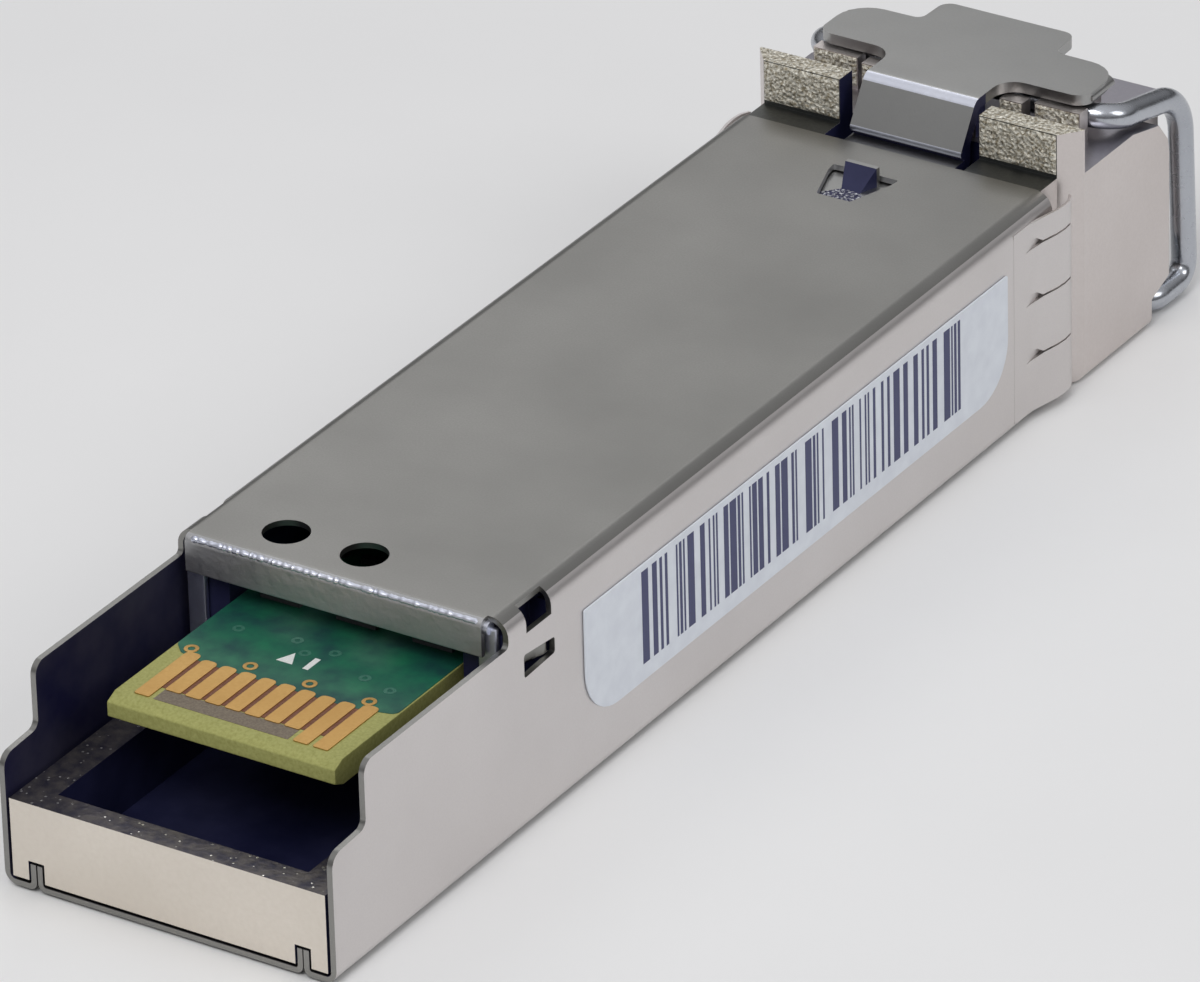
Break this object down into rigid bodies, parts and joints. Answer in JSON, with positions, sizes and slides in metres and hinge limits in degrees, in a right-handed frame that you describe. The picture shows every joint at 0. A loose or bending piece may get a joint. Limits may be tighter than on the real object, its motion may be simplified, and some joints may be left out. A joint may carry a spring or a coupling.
{
  "type": "optical transceiver module",
  "caption": "Small pluggable optical transceiver: sheet-metal shell over a cast base, duplex plug ports, edge-contact board, and a wire bail that drops a rocking latch.",
  "frame": {"origin": "on the lower face, mid-width, in the plane of the latching shoulder", "axes": "+Y towards the plug ports, +Z towards the latch side, +X to the right seen from the card edge"},
  "size_m": [0.0142, 0.0577, 0.0103],
  "materials": {
    "cast_zinc": "nickel-plated zinc casting, satin, rough where it was trimmed",
    "shell_sheet": "nickel-plated sheet, satin",
    "spring_sheet": "thin spring steel, satin",
    "label": "coated label stock with dark blue bars",
    "clamp_steel": "stamped steel, satin",
    "board": "green solder mask over glass laminate",
    "gold": "hard gold plating",
    "chip_plastic": "black moulding compound",
    "capacitor_ceramic": "ceramic with tinned ends",
    "resistor_film": "black film with tinned ends",
    "ferrite": "sintered ferrite, matt",
    "barrel_steel": "turned stainless steel",
    "zirconia": "ground zirconia",
    "can_gold": "gold-plated can",
    "flex_polyimide": "polyimide film",
    "thermal_gel": "soft gap filler",
    "latch_sheet": "nickel-plated sheet, satin",
    "bail_wire": "nickel-plated wire, satin"
  },
  "bodies": {
    "base": {"die_cast_base": "cast_zinc", "shell": "shell_sheet", "floor_plate": "shell_sheet", "emi_collar": "spring_sheet", "side_label": "label", "latch_spring": "spring_sheet", "optics_clamp": "clamp_steel", "circuit_board": "board", "edge_contacts_upper": "gold", "edge_contacts_lower": "gold", "laser_driver_ic": "chip_plastic", "limiting_amplifier_ic": "chip_plastic", "controller_ic": "chip_plastic", "memory_ic": "chip_plastic", "capacitors": "capacitor_ceramic", "resistors": "resistor_film", "ferrite_beads": "ferrite", "rx_receptacle": "barrel_steel", "rx_sleeve": "zirconia", "rx_fibre_stub": "zirconia", "rx_optical_can": "can_gold", "rx_flex": "flex_polyimide", "tx_receptacle": "barrel_steel", "tx_sleeve": "zirconia", "tx_fibre_stub": "zirconia", "tx_optical_can": "can_gold", "tx_flex": "flex_polyimide", "thermal_pad": "thermal_gel"},
    "lever": {"latch_lever": "latch_sheet"},
    "bail_frame": {"bail": "bail_wire"}
  },
  "joints": [
    {"name": "bail_hinge", "type": "hinge", "parent": "base", "child": "bail_frame", "pos_m": [0, 0.0069, 0.00925], "axis": [1, 0, 0], "range_deg": [0, 90]},
    {"name": "lever_rock", "type": "hinge", "parent": "base", "child": "lever", "pos_m": [0, 0.0049, 0.0095], "axis": [1, 0, 0], "range_deg": [0, 5.7]}
  ],
  "couplings": [
    {"joint": "lever_rock", "follows": "bail_hinge", "ratio": 0.0633}
  ]
}
